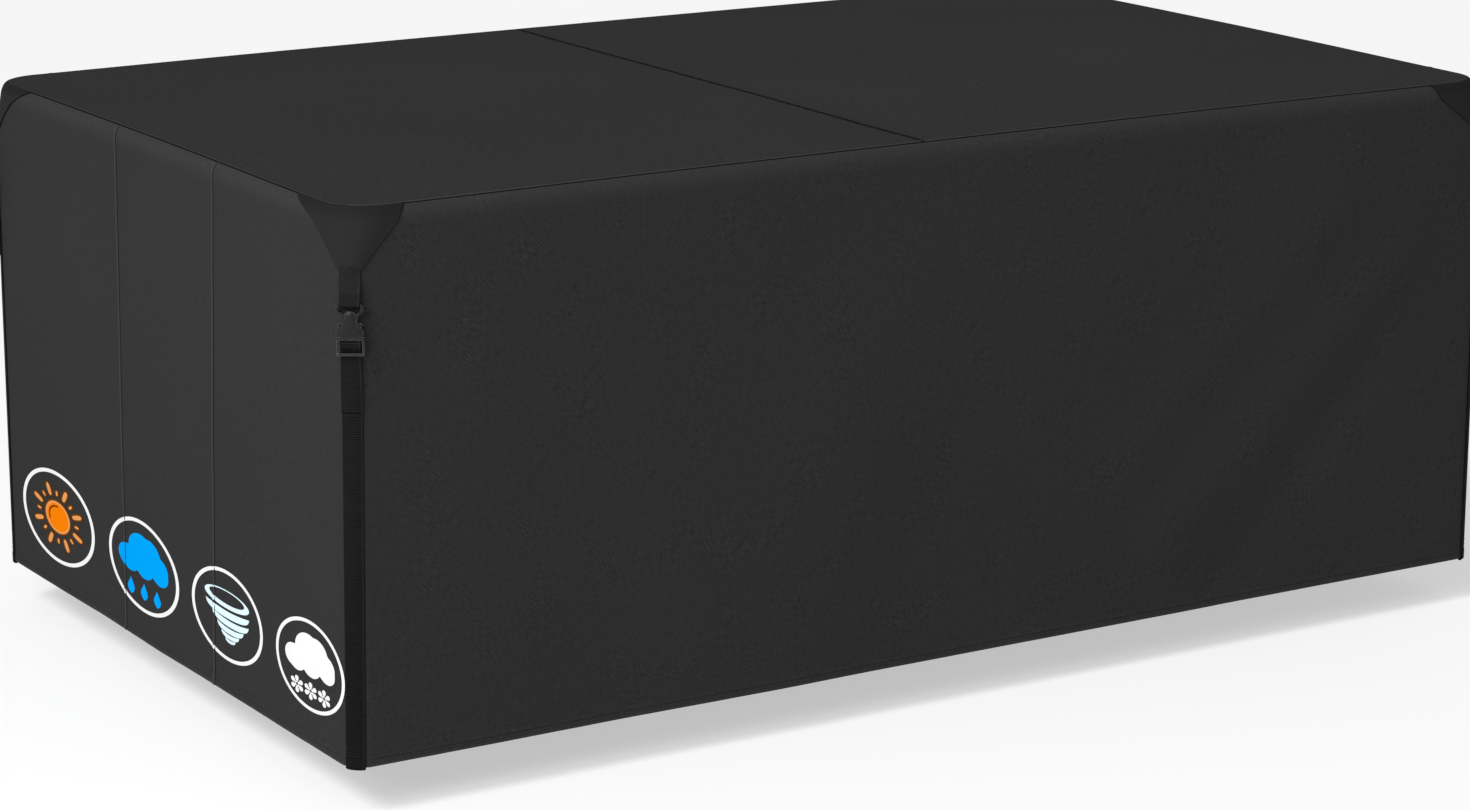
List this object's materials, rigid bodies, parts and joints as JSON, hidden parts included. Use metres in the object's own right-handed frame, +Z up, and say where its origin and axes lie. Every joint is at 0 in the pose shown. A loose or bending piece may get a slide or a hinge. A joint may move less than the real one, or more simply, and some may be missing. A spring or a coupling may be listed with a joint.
{
  "type": "fitted patio furniture cover",
  "caption": "Fitted box-shaped patio table cover of black coated cloth, with smooth corner gussets, corner webbing straps with side-release buckles and weather-sign prints on one end",
  "frame": {"origin": "on the underside of the top panel, at the middle of the cover, where the furniture that is left out bears", "axes": "+X along the cover's length, +Y across it so that the front long wall faces -Y and the end wall with the prints faces -X, +Z up"},
  "size_m": [1.8541, 1.1434, 0.7155],
  "materials": {
    "cover_cloth": "woven coated polyester, matt",
    "gusset_cloth": "smooth coated polyester, matt",
    "strap_webbing": "ribbed polypropylene webbing",
    "buckle_plastic": "moulded acetal, satin",
    "print_white": "screen print on cloth",
    "print_orange": "screen print on cloth",
    "print_blue": "screen print on cloth",
    "print_pale_blue": "screen print on cloth",
    "thread": "black sewing thread"
  },
  "bodies": {
    "root": {"top_left": "cover_cloth", "top_right": "cover_cloth", "wall_front": "cover_cloth", "wall_back": "cover_cloth", "end_left_back": "cover_cloth", "end_left_middle": "cover_cloth", "end_left_front": "cover_cloth", "end_right_back": "cover_cloth", "end_right_middle": "cover_cloth", "end_right_front": "cover_cloth", "gusset_front_left": "gusset_cloth", "web_upper_front_left": "strap_webbing", "web_lower_front_left": "strap_webbing", "socket_front_left": "buckle_plastic", "plug_front_left": "buckle_plastic", "gusset_front_right": "gusset_cloth", "web_upper_front_right": "strap_webbing", "web_lower_front_right": "strap_webbing", "socket_front_right": "buckle_plastic", "plug_front_right": "buckle_plastic", "gusset_back_left": "gusset_cloth", "web_upper_back_left": "strap_webbing", "web_lower_back_left": "strap_webbing", "socket_back_left": "buckle_plastic", "plug_back_left": "buckle_plastic", "gusset_back_right": "gusset_cloth", "web_upper_back_right": "strap_webbing", "web_lower_back_right": "strap_webbing", "socket_back_right": "buckle_plastic", "plug_back_right": "buckle_plastic"}
  },
  "joints": []
}
